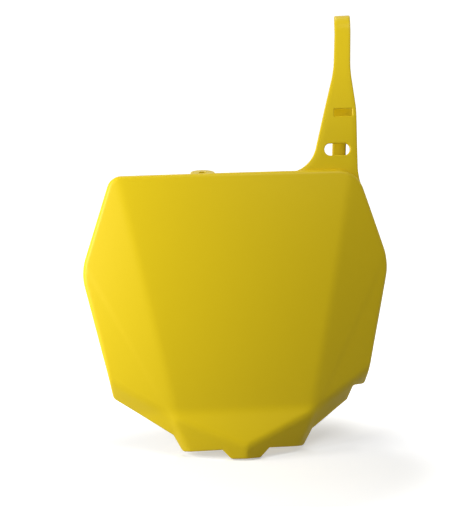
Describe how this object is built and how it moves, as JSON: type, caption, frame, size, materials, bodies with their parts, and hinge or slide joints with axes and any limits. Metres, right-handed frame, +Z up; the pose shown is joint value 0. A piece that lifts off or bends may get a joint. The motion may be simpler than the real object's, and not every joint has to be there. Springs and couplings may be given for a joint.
{
  "type": "motocross front number board",
  "caption": "Moulded plastic front number board with folded wings, a rolled rim, a bolt ear on its top edge and a looped strap that hangs it from a handlebar.",
  "frame": {"origin": "centre of the bolt hole in the ear, halfway through its thickness", "axes": "+Z up as on the bike, along the bolt; -Y forward, the way the face looks; +X to the viewer's right; the face leans back 15 degrees"},
  "size_m": [0.2546, 0.1313, 0.3484],
  "materials": {
    "board": "satin"
  },
  "bodies": {
    "root": {"number_board": "board"}
  },
  "joints": []
}
